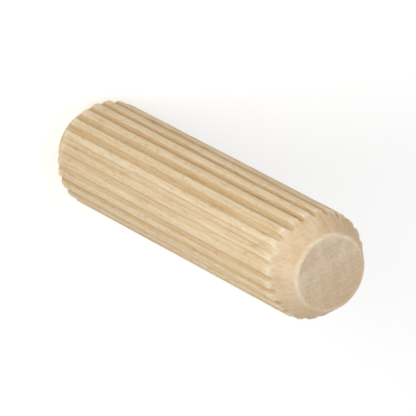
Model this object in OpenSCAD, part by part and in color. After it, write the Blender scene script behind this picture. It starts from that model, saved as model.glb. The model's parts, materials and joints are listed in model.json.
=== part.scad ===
// Fluted dowel pin: one solid piece of wood, glued into a bore in each of two boards.
// Straight flutes run its whole length, and each ends as a tongue on the chamfers.
// The pin stands on one end face, with its axis along Z. The origin is the middle of
// that face, and a flute faces along +X. Lengths are in millimetres.

/* [Pin] */
// Diameter over the crests, which is the size of the bore
pin_d = 10; // [8:0.5:16]
// Length over the end faces
pin_len = 40; // [20:1:80]

/* [Flutes] */
// Number of flutes
flutes = 24; // [12:1:30]
// Width of a flute's groove, measured on the circle of the crests
flute_w = 0.62; // [0.4:0.02:0.8]
// Depth of a flute below the crests
flute_depth = 0.32; // [0.2:0.02:0.4]
// Radius that rounds both edges of each crest
crest_round = 0.12; // [0.04:0.02:0.2]

/* [Ends] */
// Length of each chamfer along the pin
chamfer_len = 2.6; // [1:0.1:5]
// Diameter of an end face, up to the corner that the rim's radius takes off
end_d = 7; // [5:0.1:7.4]
// Radius of the rim between an end face and its chamfer
rim_round = 0.3; // [0.1:0.05:0.6]

/* [Hidden] */
$fn = 96;
// How far a cutting shape reaches past the surface that it cuts
reach = 1;
pin_r = pin_d / 2;
// The groove is the arc that is flute_w wide at the crests and flute_depth deep
groove_r = ((flute_w / 2) ^ 2 + flute_depth ^ 2) / (2 * flute_depth);
groove_centre = [pin_r - flute_depth + groove_r, 0];
// A crest's edge is an arc that meets the crest circle and the groove smoothly
edge_ring = pin_r - crest_round;
edge_turn = acos((groove_centre.x ^ 2 + edge_ring ^ 2 - (groove_r + crest_round) ^ 2)
                 / (2 * groove_centre.x * edge_ring));
edge_centre = edge_ring * [cos(edge_turn), sin(edge_turn)];
// The chamfer's angle to the axis, and the direction up its slope to the end face
chamfer_angle = atan((pin_r - end_d / 2) / chamfer_len);
up_slope = [-sin(chamfer_angle), cos(chamfer_angle)];
// How far from the corner the rim's arc meets the end face and the slope
rim_cut = rim_round * tan((90 - chamfer_angle) / 2);

// The same point on the other side of a flute
function across(point) = [point.x, -point.y];

// Cross-section of what one flute takes away, on the +X side of the crest circle
module flute_outline() {
    groove_edge = groove_centre
        + (edge_centre - groove_centre) * groove_r / (groove_r + crest_round);
    mouth_edge = edge_centre * (pin_r + reach) / edge_ring;
    difference() {
        union() {
            translate(groove_centre)
                circle(groove_r);
            polygon([groove_edge, edge_centre, mouth_edge,
                     across(mouth_edge), across(edge_centre), across(groove_edge)]);
        }
        translate(edge_centre)
            circle(crest_round);
        translate(across(edge_centre))
            circle(crest_round);
    }
}

// Half of the pin's outline, from its middle up to one end face
module half_outline() {
    shoulder = [pin_r, pin_len / 2 - chamfer_len];
    corner = [end_d / 2, pin_len / 2];
    polygon([[0, 0], [pin_r, 0], shoulder, corner - rim_cut * up_slope,
             corner - [rim_cut, 0], [0, pin_len / 2]]);
    translate(corner - [rim_cut, rim_round])
        circle(rim_round);
}

// The turned blank, chamfered at both ends
module blank() {
    translate([0, 0, pin_len / 2])
        rotate_extrude() {
            half_outline();
            mirror([0, 1])
                half_outline();
        }
}

// Bars in the shape of the flutes, longer than the pin
module flute_bars() {
    translate([0, 0, -reach])
        linear_extrude(pin_len + 2 * reach)
            for (i = [0 : flutes - 1])
                rotate(i * 360 / flutes)
                    flute_outline();
}

module dowel_pin() {
    color("burlywood")
        difference() {
            blank();
            flute_bars();
        }
}

dowel_pin();
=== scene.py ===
"""A fluted wooden dowel pin, standing on one end on a pale floor in soft studio light.

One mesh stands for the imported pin. It has the same section, chamfers and rims, and adds what
cutting leaves on raw wood: flutes that vary a little, ragged tongues, raised fibres, nicks and
the saw's marks on the end faces.
"""
import json
import math
from collections import namedtuple

import bpy
import numpy as np
from mathutils import Matrix, Vector, noise


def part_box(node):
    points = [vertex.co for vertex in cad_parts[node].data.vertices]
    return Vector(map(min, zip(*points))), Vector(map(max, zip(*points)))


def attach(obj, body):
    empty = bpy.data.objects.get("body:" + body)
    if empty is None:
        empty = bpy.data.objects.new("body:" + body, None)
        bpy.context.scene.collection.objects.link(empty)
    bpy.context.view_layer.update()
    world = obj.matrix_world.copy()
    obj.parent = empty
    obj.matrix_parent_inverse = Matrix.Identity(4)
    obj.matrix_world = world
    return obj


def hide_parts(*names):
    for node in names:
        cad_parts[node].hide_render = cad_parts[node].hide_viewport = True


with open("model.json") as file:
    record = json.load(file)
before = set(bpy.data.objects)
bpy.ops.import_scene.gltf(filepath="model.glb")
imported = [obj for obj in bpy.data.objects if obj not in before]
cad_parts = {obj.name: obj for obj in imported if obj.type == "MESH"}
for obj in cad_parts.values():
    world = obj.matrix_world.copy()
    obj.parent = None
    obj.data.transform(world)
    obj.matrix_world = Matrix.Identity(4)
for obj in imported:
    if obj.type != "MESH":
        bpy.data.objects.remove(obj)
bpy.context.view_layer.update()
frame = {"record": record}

MM = 0.001
SEED = 1409

# The pin's own sizes, as the part has them
NODE = "dowel_pin"
PIN_LOW, PIN_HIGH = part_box(NODE)
PIN_LEN = PIN_HIGH.z - PIN_LOW.z
BARREL = next(m for m in frame["record"]["mounts"] if m["name"] == "barrel")
PIN_R = BARREL["dims"]["r_mm"] * MM
FLUTES = 24
FLUTE_W = 0.62 * MM
FLUTE_DEPTH = 0.32 * MM
CREST_ROUND = 0.12 * MM
CHAMFER_LEN = 2.6 * MM
END_R = 3.5 * MM
RIM_ROUND = 0.3 * MM

# How far whole flutes stray from their place, width and depth
FLUTE_SHIFT = math.radians(0.3)
WIDTH_SCALE = (0.92, 1.05)
DEPTH_SCALE = (0.94, 1.18)

# How far a flute strays along its length, and the barrel from round
DEPTH_WAVE, DEPTH_WAVE_LEN = 0.09, 5 * MM
WANDER, WANDER_LEN = 0.035 * MM, 9 * MM
EDGE_WANDER, EDGE_WANDER_SIZE = 0.022 * MM, (0.45 * MM, 0.45 * MM, 2.2 * MM)
OUT_OF_ROUND, OUT_OF_ROUND_LEN = 0.02 * MM, 12 * MM

# The side of the pin that faces the key lamp, how fast that side fades round the pin, how much
# shallower its grooves are there, and how much of their painted shade is taken off there, as they
# are lit
LIT_SIDE = math.radians(-68)
LIT_SIDE_FADE = 9.0
LIT_SIDE_SHALLOWER = 0.15
LIT_SIDE_LESS_SHADE = 0.75

# The knee where a chamfer meets the barrel: how far its rounding reaches, how high the cut raised
# a lip there, and how ragged it left the tongues between the flutes
KNEE = 0.09 * MM
LIP = 0.022 * MM
TONGUE_RAG, TONGUE_RAG_SIZE = 0.13 * MM, 0.35 * MM

# How far the tongues' tips are pushed over the lower and the upper chamfer, and how fast that
# dies away down the chamfer and into the grooves
PUSH_LOW, PUSH_HIGH = 0.24 * MM, 0.07 * MM
PUSH_FADE, PUSH_GROOVE_FADE = 8, 2

# The pale, frayed edge of the tongues, which is partly painted highlight: between which mesh rows
# below the knee it comes in, between which rows above the knee it fades, and how far it reaches
# into a groove, as a share of its depth
FRAY_BELOW, FRAY_ABOVE = (2.5, -1), (2, 6)
FRAY_DEPTH = 0.5

# Raised fibres on the side, with broader ones among them, and nicks
FIBRE_RELIEF = 0.010 * MM
FIBRE_SIZE = (0.20 * MM, 0.20 * MM, 5 * MM)
BROAD_FIBRE_SIZE = (0.60 * MM, 0.60 * MM, 10 * MM)
NICKS = 16
NICK_DEPTH = (0.04 * MM, 0.09 * MM)
NICK_WIDTH, NICK_LEN = 0.13 * MM, (0.5 * MM, 1.1 * MM)

# Torn grain and saw marks on the end faces
TEAR_RELIEF, TEAR_SIZE, FINE_TEAR_SIZE, TEAR_GAIN = 0.030 * MM, 0.45 * MM, 0.15 * MM, 0.4
SAW_RELIEF, SAW_MARK_SIZE = 0.016 * MM, (0.30 * MM, 8 * MM, 1.0)
SAW_TURN = math.radians(35)

# Where each noise is read, so that no two of them look alike
DEPTH_NOISE, ROUND_NOISE, WANDER_NOISE, EDGE_NOISE = 3.1, 7.7, 12.9, 17.3
LOW_TONGUE_NOISE, HIGH_TONGUE_NOISE, LIP_NOISE_STEP = 21.0, 55.0, 5
FIBRE_NOISE, BROAD_FIBRE_NOISE = 31.0, 43.0
LOW_END_NOISE, HIGH_END_NOISE = 61.0, 83.0

# How finely the mesh follows the form
GROOVE_STEPS = 6
EDGE_STEPS = 4
LAND_STEPS = 4
RIM_ROWS = 4
CHAMFER_ROWS = 10
KNEE_ROWS = 3
BARREL_ROWS = 88

# The rings of an end face: how many there are, how many columns of the side one vertex takes up
# beyond each share of the radius, and how fast the relief rises from the rim inward
END_RINGS = 26
RING_STEPS = ((0.75, 1), (0.4, 2), (0.15, 4), (0.0, 8))
RELIEF_RISE = 5

# The flat layout for textures: the width that the side and an end face take of it, and how high
# the middles of the lower and the upper end face lie
STRIP_SHARE = 0.76
DISC_SHARE = 0.23
LOW_DISC, HIGH_DISC = 0.25, 0.75


def linear(red, green, blue):
    """A colour given in 0 to 255, as the linear values that a shader takes."""
    shares = [channel / 255 for channel in (red, green, blue)]
    values = [s / 12.92 if s <= 0.04045 else ((s + 0.055) / 1.055) ** 2.4 for s in shares]
    return (*values, 1.0)


def direction(azimuth, elevation):
    """The unit vector that points from the pin to something at these angles, in degrees."""
    turn, tilt = math.radians(azimuth), math.radians(elevation)
    return Vector((math.cos(turn) * math.cos(tilt), math.sin(turn) * math.cos(tilt),
                   math.sin(tilt)))


def between(values, start, end):
    """0 before start, 1 after end, and smooth between them."""
    share = np.clip((values - start) / (end - start), 0, 1)
    return share * share * (3 - 2 * share)


def noise_at(points, size, shift=0.0):
    """Smooth noise from -1 to 1 at each point, with spots of about this size."""
    places = points / np.asarray(size) + shift
    flat = places.reshape(-1, 3)
    values = np.fromiter((noise.noise(p) for p in flat.tolist()), float, len(flat))
    return values.reshape(places.shape[:-1])


# ---------------------------------------------------------------- the pin's mesh

def flute_half():
    """Half of a flute's section, from its bottom out to the crest.

    Each point is how far it lies to the side and how far it lies below the crests.
    """
    groove_r = ((FLUTE_W / 2) ** 2 + FLUTE_DEPTH ** 2) / (2 * FLUTE_DEPTH)
    centre_depth = FLUTE_DEPTH - groove_r
    rise = CREST_ROUND - centre_depth
    edge_side = math.sqrt((groove_r + CREST_ROUND) ** 2 - rise ** 2)
    meet = math.atan2(edge_side, rise)
    turns = np.linspace(0, meet, GROOVE_STEPS + 1)
    groove = np.stack([groove_r * np.sin(turns), centre_depth + groove_r * np.cos(turns)], 1)
    turns = np.linspace(meet, 0, EDGE_STEPS + 1)[1:]
    edge = np.stack([edge_side - CREST_ROUND * np.sin(turns),
                     CREST_ROUND - CREST_ROUND * np.cos(turns)], 1)
    return np.concatenate([groove, edge])


def on_lit_side(angles):
    """1 on the side of the pin that faces the key lamp, falling to 0 on the rest of the pin."""
    return np.exp(LIT_SIDE_FADE * (np.cos(angles - LIT_SIDE) - 1))


def columns(random):
    """The angle and depth of each column of vertices round the pin."""
    half = flute_half()
    section = np.concatenate([half[:0:-1] * (-1, 1), half])
    pitch = 2 * math.pi / FLUTES
    places = np.arange(FLUTES) * pitch + random.uniform(-FLUTE_SHIFT, FLUTE_SHIFT, FLUTES)
    widths = random.uniform(*WIDTH_SCALE, FLUTES)
    depths = random.uniform(*DEPTH_SCALE, FLUTES) * (1 - LIT_SIDE_SHALLOWER * on_lit_side(places))
    angles, sunk = [], []
    for i in range(FLUTES):
        sides = places[i] + section[:, 0] * widths[i] / PIN_R
        after = (i + 1) % FLUTES
        next_start = places[after] + section[0, 0] * widths[after] / PIN_R
        next_start += 2 * math.pi if after == 0 else 0
        land = np.linspace(sides[-1], next_start, LAND_STEPS + 1)[1:-1]
        angles += [sides, land]
        sunk += [section[:, 1] * depths[i], np.zeros(len(land))]
    return np.concatenate(angles), np.concatenate(sunk)


def round_pin(angles, radii, heights):
    """Points at these angles, radii and heights."""
    return np.stack(np.broadcast_arrays(radii * np.cos(angles), radii * np.sin(angles),
                                        heights), -1)


def barrel_radius(angles, sunk, heights):
    """The radius and the true angle of the barrel at each column and height."""
    on_crest = round_pin(angles, PIN_R, heights)
    wave = noise_at(on_crest, DEPTH_WAVE_LEN, DEPTH_NOISE)
    roundness = noise_at(on_crest, OUT_OF_ROUND_LEN, ROUND_NOISE)
    wander = WANDER * noise_at(on_crest, WANDER_LEN, WANDER_NOISE)
    wander += EDGE_WANDER * noise_at(on_crest, EDGE_WANDER_SIZE, EDGE_NOISE)
    radii = PIN_R - sunk * (1 + DEPTH_WAVE * wave) - OUT_OF_ROUND * np.abs(roundness)
    return radii, angles + wander / PIN_R


def end_profile(angles, sunk, most_push, shift):
    """One end's radius and distance from the end face, row by row, and each column's true angle.

    The rows run from the inner edge of the rim to the first row of the barrel.
    """
    slope = math.atan2(PIN_R - END_R, CHAMFER_LEN)
    rim_cut = RIM_ROUND * math.tan((math.pi / 2 - slope) / 2)
    turns = np.linspace(0, math.pi / 2 - slope, RIM_ROWS + 1)
    rim_r = END_R - rim_cut + RIM_ROUND * np.sin(turns)
    rim_z = RIM_ROUND * (1 - np.cos(turns))
    knee_r, true_angles = barrel_radius(angles, sunk, np.full_like(angles, CHAMFER_LEN))
    at_knee = round_pin(true_angles, knee_r, 0.0)
    rag = TONGUE_RAG * noise_at(at_knee, TONGUE_RAG_SIZE, shift)
    knee_z = (knee_r - END_R) / math.tan(slope) + rag
    start_r, start_z = rim_r[-1], rim_z[-1]
    run = np.hypot(knee_r - start_r, knee_z - start_z)
    before_r = knee_r + (start_r - knee_r) * KNEE / run
    before_z = knee_z + (start_z - knee_z) * KNEE / run
    raised = noise_at(at_knee, TONGUE_RAG_SIZE, shift + LIP_NOISE_STEP)
    lip = LIP * np.clip(0.5 + raised, 0, 1)
    push = most_push * np.clip(1 - PUSH_GROOVE_FADE * sunk / FLUTE_DEPTH, 0, 1)
    rows_r = [np.full_like(angles, r) for r in rim_r]
    rows_z = [np.full_like(angles, z) for z in rim_z]
    for share in np.linspace(0, 1, CHAMFER_ROWS + 1)[1:]:
        rows_r.append(start_r + (before_r - start_r) * share)
        rows_z.append(start_z + (before_z - start_z) * share - push * share ** PUSH_FADE)
    for share in np.linspace(0, 1, KNEE_ROWS + 1)[1:]:
        bend = 2 * share * (1 - share)
        rows_r.append(before_r * (1 - share) ** 2 + (knee_r + lip) * bend
                      + knee_r * share ** 2)
        rows_z.append(before_z * (1 - share) ** 2 + knee_z * bend
                      + (knee_z + KNEE) * share ** 2 - push)
    return np.array(rows_r), np.array(rows_z), true_angles


def side_rows(random):
    """The pin's side as a grid of points, its rows going up, and the painted shade of the groove
    that each is in, by its depth.
    """
    angles, sunk = columns(random)
    low_r, low_z, low_angles = end_profile(angles, sunk, PUSH_LOW, LOW_TONGUE_NOISE)
    high_r, high_z, high_angles = end_profile(angles, sunk, PUSH_HIGH, HIGH_TONGUE_NOISE)
    shares = np.linspace(0, 1, BARREL_ROWS + 2)[1:-1, None]
    bottom = low_z[-1]
    top = PIN_LEN - high_z[-1]
    heights = bottom + (top - bottom) * shares
    radii, turned = barrel_radius(np.broadcast_to(angles, heights.shape),
                                  np.broadcast_to(sunk, heights.shape), heights)
    low_turn = np.broadcast_to(low_angles, low_r.shape)
    high_turn = np.broadcast_to(high_angles, high_r.shape)
    all_r = np.concatenate([low_r, radii, high_r[::-1]])
    all_z = np.concatenate([low_z, heights, PIN_LEN - high_z[::-1]])
    all_angles = np.concatenate([low_turn, turned, high_turn[::-1]])
    points = round_pin(all_angles, all_r, all_z)
    # Painted shade in each groove by its depth, mostly taken off on the side that faces the key
    # lamp
    groove = sunk / FLUTE_DEPTH * (1 - LIT_SIDE_LESS_SHADE * on_lit_side(angles))
    return points, np.broadcast_to(groove, all_r.shape)


def relief(points):
    """How far raised fibres stand out at each point of the side, in metres."""
    fibres = noise_at(points, FIBRE_SIZE, FIBRE_NOISE)
    broad = noise_at(points, BROAD_FIBRE_SIZE, BROAD_FIBRE_NOISE)
    from_end = np.minimum(points[..., 2], PIN_LEN - points[..., 2])
    return FIBRE_RELIEF * (fibres + broad) * between(from_end, RIM_ROUND, CHAMFER_LEN)


def nicks(random, points):
    """How deep small dents and tears go into the side at each point, in metres."""
    turns = np.arctan2(points[..., 1], points[..., 0])
    depth = np.zeros(turns.shape)
    for _ in range(NICKS):
        turn = random.uniform(-math.pi, math.pi)
        height = random.uniform(CHAMFER_LEN, PIN_LEN - CHAMFER_LEN)
        to_side = PIN_R * ((turns - turn + math.pi) % (2 * math.pi) - math.pi) / NICK_WIDTH
        along = (points[..., 2] - height) / random.uniform(*NICK_LEN)
        depth += random.uniform(*NICK_DEPTH) * np.exp(-to_side ** 2 - along ** 2)
    return depth


def end_relief(points, shift):
    """How far the saw left each point of an end face below its rim, in metres."""
    torn = noise_at(points, TEAR_SIZE, shift) + noise_at(points, FINE_TEAR_SIZE, shift)
    turned = points @ np.array([[math.cos(SAW_TURN), -math.sin(SAW_TURN), 0],
                                [math.sin(SAW_TURN), math.cos(SAW_TURN), 0],
                                [0, 0, 1]])
    sawn = noise_at(turned, SAW_MARK_SIZE, shift)
    tears = TEAR_RELIEF * np.clip(0.5 + TEAR_GAIN * torn, 0, 1)
    return tears + SAW_RELIEF * (0.5 + 0.5 * sawn)


def end_rings(rim, height, up, shift):
    """Rings of points that fill an end face, from its rim to its middle."""
    centre = np.array([0.0, 0.0, height])
    rings = []
    for k in range(1, END_RINGS):
        share = 1 - k / END_RINGS
        step = next(step for beyond, step in RING_STEPS if share > beyond)
        ring = centre + (rim[::step] - centre) * share
        ring[:, 2] = height
        fade = min(1.0, RELIEF_RISE * k / END_RINGS)
        ring[:, 2] -= up * fade * end_relief(ring, shift)
        rings.append(ring)
    return rings


def stitch(outer, inner):
    """Triangles between two rings of vertex numbers, where outer has as many or a multiple."""
    ratio = len(outer) // len(inner)
    faces = []
    for i, corner in enumerate(inner):
        for k in range(ratio):
            near = outer[i * ratio + k]
            far = outer[(i * ratio + k + 1) % len(outer)]
            faces.append((near, far, corner))
        faces.append((outer[(i + 1) * ratio % len(outer)], inner[(i + 1) % len(inner)], corner))
    return faces


def skin(side):
    """All the pin's points and faces: the rows of its side, and then its two end faces."""
    rows, count = side.shape[:2]
    vertices = [side.reshape(-1, 3)]
    numbers = np.arange(rows * count).reshape(rows, count)
    beside = np.roll(numbers, -1, 1)
    quads = np.stack([numbers[:-1], beside[:-1], beside[1:], numbers[1:]], -1)
    faces = quads.reshape(-1, 4).tolist()
    used = rows * count
    low_end, high_end = (0, 0.0, -1, LOW_END_NOISE), (rows - 1, PIN_LEN, 1, HIGH_END_NOISE)
    # The corners of the end face that looks down go the other way round
    for row, height, up, shift in (low_end, high_end):
        outer = numbers[row].tolist()
        for ring in end_rings(side[row], height, up, shift):
            vertices.append(ring)
            inner = list(range(used, used + len(ring)))
            used += len(ring)
            faces += [f[::up] for f in stitch(outer, inner)]
            outer = inner
        vertices.append(np.array([[0.0, 0.0, height]]))
        faces += [(a, b, used)[::up] for a, b in zip(outer, outer[1:] + outer[:1])]
        used += 1
    return np.concatenate(vertices), faces


def lay_out(mesh, side, points):
    """A flat layout for baked textures: the side as a strip, and the end faces beside it."""
    rows, count = side.shape[:2]
    middle = np.stack([np.hypot(side[..., 0], side[..., 1]).mean(1), side[..., 2].mean(1)], 1)
    steps = np.hypot(*np.diff(middle, axis=0).T)
    along = np.concatenate([[0], np.cumsum(steps)]) / steps.sum()
    corners = np.empty(len(mesh.loops), int)
    mesh.loops.foreach_get("vertex_index", corners)
    on_side = 4 * (rows - 1) * count
    row = corners[:on_side] // count
    first_column = corners[:on_side:4] % count
    column = first_column[:, None] + np.array([0, 1, 1, 0])
    strip = np.stack([STRIP_SHARE * column.reshape(-1) / count, along[row]], 1)
    ends = points[corners[on_side:]]
    disc = DISC_SHARE * ends[:, :2] / (2 * END_R) + (1 - DISC_SHARE / 2, 0)
    disc[:, 1] += np.where(ends[:, 2] > PIN_LEN / 2, HIGH_DISC, LOW_DISC)
    layer = mesh.uv_layers.new(name="OFBake")
    layer.uv.foreach_set("vector", np.concatenate([strip, disc]).astype(np.float32).ravel())


def pin_marks(points, groove, torn):
    """What each vertex is on, from 0 to 1: a groove with its painted shade, a chamfer, its lip, a
    rim and so on.
    """
    rows, count = groove.shape
    last_cut = RIM_ROWS + CHAMFER_ROWS
    from_end = np.minimum(np.arange(rows), np.arange(rows)[::-1])[:, None]
    on_chamfer = 1 - between(from_end, last_cut, last_cut + KNEE_ROWS)
    near_knee = between(from_end, last_cut - FRAY_BELOW[0], last_cut - FRAY_BELOW[1])
    near_knee *= 1 - between(from_end, last_cut + FRAY_ABOVE[0], last_cut + FRAY_ABOVE[1])
    on_rim = 1 - between(from_end, RIM_ROWS - 1, RIM_ROWS + 1)
    on_end = 0.5 * (from_end == 0)
    # A groove's painted shade is weak on the lit side, so the frayed edge crosses the grooves
    # there
    by_row = {"groove": groove * (1 - on_chamfer), "nick": torn, "chamfer": on_chamfer,
              "lip": near_knee * (1 - between(groove, 0.0, FRAY_DEPTH)), "rim": on_rim,
              "end_face": on_end}
    inside = len(points) - rows * count
    return {name: np.append(np.broadcast_to(values, groove.shape),
                            np.full(inside, float(name == "end_face")))
            for name, values in by_row.items()}


def pin_mesh():
    """The pin's whole mesh, with the marks that its material reads."""
    random = np.random.default_rng(SEED)
    side, groove = side_rows(random)
    outward = side * (1, 1, 0)
    outward /= np.linalg.norm(outward, axis=-1, keepdims=True)
    torn = nicks(random, side)
    side = side + outward * (relief(side) - torn)[..., None]
    points, faces = skin(side)
    mesh = bpy.data.meshes.new("pin")
    mesh.from_pydata(points.tolist(), [], faces)
    mesh.polygons.foreach_set("use_smooth", np.ones(len(mesh.polygons), bool))
    lay_out(mesh, side, points)
    marks = pin_marks(points, groove, torn / NICK_DEPTH[1])
    for name, values in marks.items():
        attribute = mesh.attributes.new(name, "FLOAT", "POINT")
        attribute.data.foreach_set("value", values.astype(np.float32))
    mesh.update()
    return mesh


# ---------------------------------------------------------------- nodes

def add(tree, kind, inputs=None, **settings):
    """A new node with these settings, whose inputs are set, or linked where one is a socket."""
    new = tree.nodes.new("ShaderNode" + kind)
    for name, value in settings.items():
        setattr(new, name, value)
    for name, value in (inputs or {}).items():
        if isinstance(value, bpy.types.NodeSocket):
            tree.links.new(value, new.inputs[name])
        else:
            new.inputs[name].default_value = value
    return new


def calc(tree, operation, first, second=0.0):
    """One sum on two numbers or sockets."""
    return add(tree, "Math", {0: first, 1: second}, operation=operation).outputs[0]


def times(tree, first, second):
    """The product of two numbers or sockets."""
    return calc(tree, "MULTIPLY", first, second)


def mix(tree, share, first, second, blend="MIX"):
    """Two colours blended by a share from 0 to 1."""
    factor, a, b, result = 0, 6, 7, 2
    new = add(tree, "Mix", {factor: share, a: first, b: second},
              data_type="RGBA", blend_type=blend)
    return new.outputs[result]


def spread(tree, value, low, high, to_low=0.0, to_high=1.0):
    """value as it goes from low to high, carried over to go from to_low to to_high."""
    inputs = {"Value": value, "From Min": low, "From Max": high,
              "To Min": to_low, "To Max": to_high}
    return add(tree, "MapRange", inputs, interpolation_type="SMOOTHSTEP").outputs[0]


def by_mark(tree, marked, shares):
    """The first share where there is no mark, and the second where the mark is full."""
    return spread(tree, marked, 0.0, 1.0, *shares)


def clear_tree(owner):
    """The emptied node tree of a material or a world."""
    owner.use_nodes = True
    owner.node_tree.nodes.clear()
    return owner.node_tree


# ---------------------------------------------------------------- the wood

# The wood's colours. Those that are plain shares darken the colour that they lie on.
PALE = linear(236, 216, 180)
TAN = linear(230, 206, 168)
LATEWOOD = (0.89, 0.82, 0.73, 1.0)
STREAK = (0.87, 0.79, 0.68, 1.0)
PORE = (0.74, 0.62, 0.47, 1.0)
RAY_ON_SIDE = linear(192, 146, 97)
RAY_ON_END = linear(240, 224, 202)
# Painted shade in the grooves, with a little darker wood there: it darkens each groove by its
# depth
GROOVE_TONE_AND_SHADE = (0.79, 0.715, 0.60, 1.0)
NICK = (0.72, 0.58, 0.43, 1.0)
CHAMFER_PALE = linear(224, 196, 167)
CHAMFER_TAN = linear(212, 178, 140)
END_PALE = linear(226, 207, 188)
END_DARK = linear(206, 183, 160)
# Painted shade on the side of an end face away from its lit side
END_SHADE = linear(196, 166, 136)
# Pale fuzz of torn fibres, partly painted highlight, on the rims and the tongues' edges
FUZZ_AND_HIGHLIGHT = linear(246, 232, 205)

# How much of its own colour a chamfer and an end face have over the wood's
CHAMFER_TINT = 0.5
END_TINT = 0.62

# Where the pin lay in its tree: how far out from the pith and how high up, and how it was turned
PITH = (36 * MM, 0.0, 630 * MM)
PITH_TURN = (0.018, -0.012, 0.55)

# The growth rings: how wide they are, how many rings they waver by, where in a ring, from 0 to 1,
# its dark edge comes in and ends, and how strongly it shows on the side and on an end face
RING_WIDTH = 1.6 * MM
RING_WAVER = 1.4
RING_DARKENS = (0.40, 0.93)
RING_ENDS = (0.94, 1.0)
RING_SHARES = (0.5, 0.6)

# A grain is noise in the tree. Its size is how far its spots reach outward from the pith, round it
# and up the trunk. It comes in between two noise values, its edges, and it shows by the first of
# its shares on plain wood and by the second on chamfers. All but pores and rays do so on end faces
# too.
Grain = namedtuple("Grain", "size edges shares detail roughness", defaults=(None, None, 2.0, 0.5))
GRAINS = {
    "tan": Grain((1.3 * MM, 1.3 * MM, 45 * MM), edges=(0.36, 0.64), shares=(1.0, 0.5),
                 detail=3.0),
    "waver": Grain((3 * MM, 3 * MM, 30 * MM)),
    "blush": Grain((2.0 * MM, 2.0 * MM, 4 * MM), edges=(0.38, 0.62)),
    "mottle": Grain((1.2 * MM, 1.2 * MM, 1.2 * MM), edges=(0.36, 0.64), detail=4.0,
                    roughness=0.6),
    "streak": Grain((0.30 * MM, 0.30 * MM, 12 * MM), edges=(0.50, 0.68), shares=(0.60, 0.35),
                    detail=3.0),
    "hair": Grain((0.11 * MM, 0.11 * MM, 7 * MM), edges=(0.58, 0.68), shares=(0.50, 0.30),
                  roughness=0.4),
    "fibre": Grain((0.09 * MM, 0.09 * MM, 2.6 * MM), shares=(0.34, 0.24), roughness=0.6),
    "pore": Grain((0.10 * MM, 0.10 * MM, 0.9 * MM), edges=(0.62, 0.74), shares=(0.60, 0.30),
                  detail=1.0),
    "ray": Grain((2.0 * MM, 0.10 * MM, 0.8 * MM), edges=(0.62, 0.74), shares=(0.26, 0.08),
                 detail=0.0),
    "fuzz": Grain((0.6 * MM, 0.6 * MM, 0.6 * MM), edges=(0.35, 0.65)),
    "cutter": Grain((6 * MM, 6 * MM, 0.12 * MM)),
}

# The middle value of the fibres' noise, and how much fuzz and painted highlight there is between
# its spots and in them
FIBRE_MEAN = 0.5
FUZZ_SHARES = (0.35, 1.0)

# The azimuth, in degrees, of the side of the end faces that is painted as lit: their rims get more
# painted highlight there, and their opposite side gets painted shade, darker and warmer
END_LIT_SIDE = -107
SHADE_FROM, SHADE_TO = -1.1 * END_R, 0.6 * END_R
RIM_HIGHLIGHT_FROM, RIM_HIGHLIGHT_TO = -0.2 * END_R, 0.5 * END_R
RIM_HIGHLIGHT_LEAST, RIM_HIGHLIGHT_MOST = 0.3, 0.85

# The finest relief, which is bump: how deep the pores are beside the fibres, how much of both
# stays on a chamfer, and how high the marks of its cutter are
PORE_DEPTH = 0.8
BUMP_SHARES = (1.0, 0.35)
CUTTER_HEIGHT = 0.5
BUMP_STRENGTH, BUMP_DISTANCE = 0.4, 0.03 * MM

# The wood's gloss: its roughness goes from the first value to the second as the streaks' noise
# goes from the first edge to the second
ROUGHNESS, ROUGHNESS_EDGES = (0.56, 0.72), (0.3, 0.7)
SPECULAR = 0.28


def in_the_log(tree, place):
    """Where a point lies in its tree: outward from the pith, round it and up the trunk."""
    turned = {"Vector": place, "Rotation": PITH_TURN, "Location": PITH}
    return add(tree, "Mapping", turned).outputs[0]


def grain(tree, log, name):
    """The noise of one of the wood's grains."""
    kind = GRAINS[name]
    scale = tuple(1 / length for length in kind.size)
    moved = add(tree, "Mapping", {"Vector": log, "Scale": scale})
    inputs = {"Vector": moved.outputs[0], "Scale": 1.0, "Detail": kind.detail,
              "Roughness": kind.roughness}
    return add(tree, "TexNoise", inputs).outputs[0]


def come_in(tree, noise_value, name):
    """How far one of the grains has come in at this noise value, from 0 to 1."""
    return spread(tree, noise_value, *GRAINS[name].edges)


def showing(tree, noise_value, name, cut):
    """How strongly one of the grains shows. cut is the mark of where its second share counts."""
    return times(tree, come_in(tree, noise_value, name), by_mark(tree, cut, GRAINS[name].shares))


def latewood(tree, log):
    """1 in the dark outer edge of each growth ring, and 0 in the pale rest of it."""
    level = add(tree, "VectorMath", {0: log, 1: (1.0, 1.0, 0.0)}, operation="MULTIPLY")
    from_pith = add(tree, "VectorMath", {0: level.outputs[0]}, operation="LENGTH")
    waver = times(tree, grain(tree, log, "waver"), RING_WAVER)
    phase = times(tree, from_pith.outputs["Value"], 1 / RING_WIDTH)
    share = calc(tree, "FRACT", calc(tree, "ADD", phase, waver))
    return times(tree, spread(tree, share, *RING_DARKENS),
                 spread(tree, share, *RING_ENDS, 1.0, 0.0))


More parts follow.
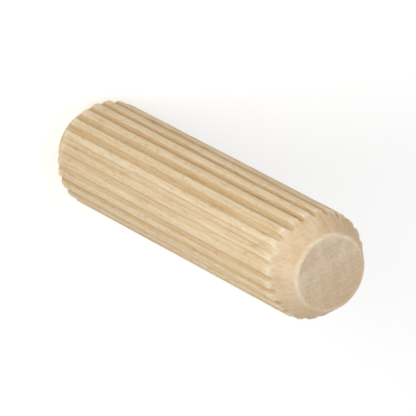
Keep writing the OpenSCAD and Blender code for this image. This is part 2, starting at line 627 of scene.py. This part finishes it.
def broad_colour(tree, log, across, marks):
    """The wood's broad colours: pale and tan stretches, growth rings, chamfers, and end faces with
    painted shade on one side.
    """
    tan = showing(tree, grain(tree, log, "tan"), "tan", marks["cut_across"])
    colour = mix(tree, tan, PALE, TAN)
    late = times(tree, latewood(tree, log), by_mark(tree, marks["end_face"], RING_SHARES))
    colour = mix(tree, late, colour, LATEWOOD, "MULTIPLY")
    blush = come_in(tree, grain(tree, log, "blush"), "blush")
    chamfer_colour = mix(tree, blush, CHAMFER_PALE, CHAMFER_TAN)
    colour = mix(tree, times(tree, marks["chamfer"], CHAMFER_TINT), colour, chamfer_colour)
    mottle = come_in(tree, grain(tree, log, "mottle"), "mottle")
    # Painted shade, darker and warmer, on the end face's side away from its lit side
    shade_share = spread(tree, across, SHADE_FROM, SHADE_TO, 1.0, 0.0)
    end_colour = mix(tree, shade_share, mix(tree, mottle, END_PALE, END_DARK), END_SHADE)
    return mix(tree, times(tree, marks["end_face"], END_TINT), colour, end_colour)


def fuzz_and_highlight_share(tree, log, across, marks):
    """How much pale fuzz and painted highlight there is: spots of it along the rims, most on their
    lit side, and the tongues' edges.
    """
    spots = spread(tree, grain(tree, log, "fuzz"), *GRAINS["fuzz"].edges, *FUZZ_SHARES)
    rim_highlight = spread(tree, across, RIM_HIGHLIGHT_FROM, RIM_HIGHLIGHT_TO, RIM_HIGHLIGHT_LEAST, RIM_HIGHLIGHT_MOST)
    edge = calc(tree, "MAXIMUM", times(tree, marks["rim"], rim_highlight), marks["lip"])
    return times(tree, edge, spots)


def rays(tree, log, marks, colour):
    """A colour with the wood's rays over it: short dark lines on the side, pale ones on an end."""
    ray = come_in(tree, grain(tree, log, "ray"), "ray")
    strength = by_mark(tree, marks["chamfer"], GRAINS["ray"].shares)
    ray_colour = mix(tree, marks["end_face"], RAY_ON_SIDE, RAY_ON_END)
    return mix(tree, times(tree, ray, strength), colour, ray_colour)


def bump(tree, log, marks, fibres, pore):
    """The normals of raised fibres, sunk pores and the cutter's marks on the chamfers."""
    height = calc(tree, "SUBTRACT", fibres, times(tree, pore, PORE_DEPTH))
    height = times(tree, height, by_mark(tree, marks["chamfer"], BUMP_SHARES))
    cutter = times(tree, grain(tree, log, "cutter"),
                   times(tree, marks["chamfer"], CUTTER_HEIGHT))
    height = calc(tree, "ADD", height, cutter)
    inputs = {"Height": height, "Strength": BUMP_STRENGTH, "Distance": BUMP_DISTANCE}
    return add(tree, "Bump", inputs).outputs[0]


def wood_material():
    """Raw pale hardwood, with its grain running along the pin and through its ends."""
    material = bpy.data.materials.new("pin_wood")
    tree = clear_tree(material)
    place = add(tree, "TexCoord").outputs["Object"]
    log = in_the_log(tree, place)
    across = add(tree, "VectorMath", {0: place, 1: direction(END_LIT_SIDE, 0)},
                 operation="DOT_PRODUCT").outputs["Value"]
    marks = {name: add(tree, "Attribute", attribute_name=name).outputs["Fac"]
             for name in ("groove", "nick", "chamfer", "lip", "rim", "end_face")}
    marks["cut_across"] = calc(tree, "MAXIMUM", marks["chamfer"], marks["end_face"])

    colour = broad_colour(tree, log, across, marks)
    streaks, hairs = grain(tree, log, "streak"), grain(tree, log, "hair")
    streak = showing(tree, streaks, "streak", marks["cut_across"])
    colour = mix(tree, streak, colour, STREAK, "MULTIPLY")
    hair = showing(tree, hairs, "hair", marks["cut_across"])
    colour = mix(tree, hair, colour, STREAK, "MULTIPLY")
    fibres = grain(tree, log, "fibre")
    fibre = times(tree, calc(tree, "SUBTRACT", fibres, FIBRE_MEAN),
                  by_mark(tree, marks["cut_across"], GRAINS["fibre"].shares))
    colour = mix(tree, 1.0, colour, calc(tree, "ADD", fibre, 1.0), "MULTIPLY")
    pore = showing(tree, grain(tree, log, "pore"), "pore", marks["chamfer"])
    colour = mix(tree, pore, colour, PORE, "MULTIPLY")
    # Painted shade in the grooves, by their depth, with a little darker wood there
    colour = mix(tree, marks["groove"], colour, GROOVE_TONE_AND_SHADE, "MULTIPLY")
    colour = mix(tree, marks["nick"], colour, NICK, "MULTIPLY")
    colour = rays(tree, log, marks, colour)
    # Pale fuzz and painted highlight on the rims and the tongues' edges
    colour = mix(tree, fuzz_and_highlight_share(tree, log, across, marks), colour, FUZZ_AND_HIGHLIGHT)

    rough = spread(tree, streaks, *ROUGHNESS_EDGES, *ROUGHNESS)
    surface = add(tree, "BsdfPrincipled", {
        "Base Color": colour, "Roughness": rough, "Specular IOR Level": SPECULAR,
        "Normal": bump(tree, log, marks, fibres, pore)})
    add(tree, "OutputMaterial", {"Surface": surface.outputs[0]})
    return material


def build_pin():
    """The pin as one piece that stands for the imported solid."""
    pin = bpy.data.objects.new("fluted_pin", pin_mesh())
    bpy.context.scene.collection.objects.link(pin)
    pin.data.materials.append(wood_material())
    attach(pin, "root")
    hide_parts(NODE)


# ---------------------------------------------------------------- floor, light, camera

# The floor, and how its shown colour is lifted to white from near the pin to far from it
FLOOR_SIDE = 3.0
FLOOR_COLOUR = (0.86, 0.86, 0.86, 1.0)
FLOOR_SHOWN = (0.98, 0.98, 0.98, 1.0)
FLOOR_LIFT, LIFT_FROM, LIFT_TO = 0.30, 70 * MM, 260 * MM

# The sky's light, and where it is dimmer: round which azimuth, in degrees, between which cosines
# of the angle to it, and what share of the light is left
SKY_COLOUR = (1.0, 1.0, 1.0, 1.0)
SKY = 0.53
DIM_SIDE, DIM_EDGE, DIM_MIDDLE, DIM_SHARE = 20, 0.5, 0.95, 0.15

# The camera: how far off it is, how wide a frame it sees round the pin, and its angles, in degrees
CAMERA_DISTANCE = 620 * MM
FRAME_WIDTH = 37 * MM
SENSOR = 36.0
CAMERA_AZIMUTH = -82.5
CAMERA_ELEVATION = 53
CAMERA_ROLL = 118


def seen_directly(tree):
    """1 for rays that show the background: the camera's, mirrored ones and those through glass."""
    path = add(tree, "LightPath")
    shown = calc(tree, "MAXIMUM", path.outputs["Is Camera Ray"], path.outputs["Is Glossy Ray"])
    return calc(tree, "MAXIMUM", shown, path.outputs["Is Transmission Ray"])


def floor_material():
    """Plain pale floor, which keeps the pin's shadow and shows as white away from it."""
    material = bpy.data.materials.new("floor")
    tree = clear_tree(material)
    plain = add(tree, "BsdfDiffuse", {"Color": FLOOR_COLOUR})
    shown = add(tree, "BsdfDiffuse", {"Color": FLOOR_SHOWN})
    place = add(tree, "TexCoord").outputs["Object"]
    away = add(tree, "VectorMath", {0: place}, operation="LENGTH").outputs["Value"]
    strength = spread(tree, away, LIFT_FROM, LIFT_TO, FLOOR_LIFT, 1.0)
    lift = add(tree, "Emission", {"Strength": strength})
    lifted = add(tree, "AddShader", {0: shown.outputs[0], 1: lift.outputs[0]})
    blended = add(tree, "MixShader", {0: seen_directly(tree), 1: plain.outputs[0],
                                      2: lifted.outputs[0]})
    add(tree, "OutputMaterial", {"Surface": blended.outputs[0]})
    return material


def build_floor():
    """A square of floor under the pin."""
    reach = FLOOR_SIDE / 2
    corners = [(-reach, -reach, 0), (reach, -reach, 0), (reach, reach, 0), (-reach, reach, 0)]
    mesh = bpy.data.meshes.new("floor")
    mesh.from_pydata(corners, [], [(0, 1, 2, 3)])
    floor = bpy.data.objects.new("floor", mesh)
    bpy.context.scene.collection.objects.link(floor)
    mesh.materials.append(floor_material())


def build_sky():
    """Soft light from all round, dimmer on one side, which shows as white."""
    world = bpy.data.worlds.new("studio")
    bpy.context.scene.world = world
    tree = clear_tree(world)
    way = add(tree, "TexCoord").outputs["Generated"]
    facing = add(tree, "VectorMath", {0: way, 1: direction(DIM_SIDE, 0)}, operation="DOT_PRODUCT")
    light = spread(tree, facing.outputs["Value"], DIM_EDGE, DIM_MIDDLE, SKY, SKY * DIM_SHARE)
    strength = calc(tree, "MAXIMUM", seen_directly(tree), light)
    background = add(tree, "Background", {"Color": SKY_COLOUR, "Strength": strength})
    add(tree, "OutputWorld", {"Surface": background.outputs[0]})


def build_lamp(name, azimuth, elevation, distance, size, watts):
    """A square soft lamp that faces the middle of the pin."""
    data = bpy.data.lights.new(name, "AREA")
    data.size = size
    data.energy = watts
    lamp = bpy.data.objects.new(name, data)
    bpy.context.scene.collection.objects.link(lamp)
    middle = Vector((0, 0, PIN_LEN / 2))
    towards = direction(azimuth, elevation)
    lamp.location = middle + towards * distance
    lamp.rotation_euler = towards.to_track_quat("Z", "Y").to_euler()


def build_camera():
    """A camera that sees the pin at the angle of the photograph's upper left one."""
    data = bpy.data.cameras.new("camera")
    data.sensor_width = SENSOR
    data.lens = SENSOR * CAMERA_DISTANCE / FRAME_WIDTH
    camera = bpy.data.objects.new("camera", data)
    bpy.context.scene.collection.objects.link(camera)
    middle = Vector((0, 0, PIN_LEN / 2))
    towards = direction(CAMERA_AZIMUTH, CAMERA_ELEVATION)
    turned = towards.to_track_quat("Z", "Y").to_matrix().to_4x4()
    roll = Matrix.Rotation(math.radians(CAMERA_ROLL), 4, "Z")
    camera.matrix_world = Matrix.Translation(middle + towards * CAMERA_DISTANCE) @ turned @ roll
    bpy.context.scene.camera = camera


build_pin()
build_floor()
build_sky()
build_lamp("key", azimuth=-70, elevation=38, distance=0.22, size=0.12, watts=0.226)
build_lamp("fill", azimuth=-165, elevation=25, distance=0.9, size=0.8, watts=0.4)
build_lamp("back", azimuth=80, elevation=12, distance=0.9, size=0.8, watts=2.0)
build_camera()
bpy.context.scene.view_settings.view_transform = "Standard"
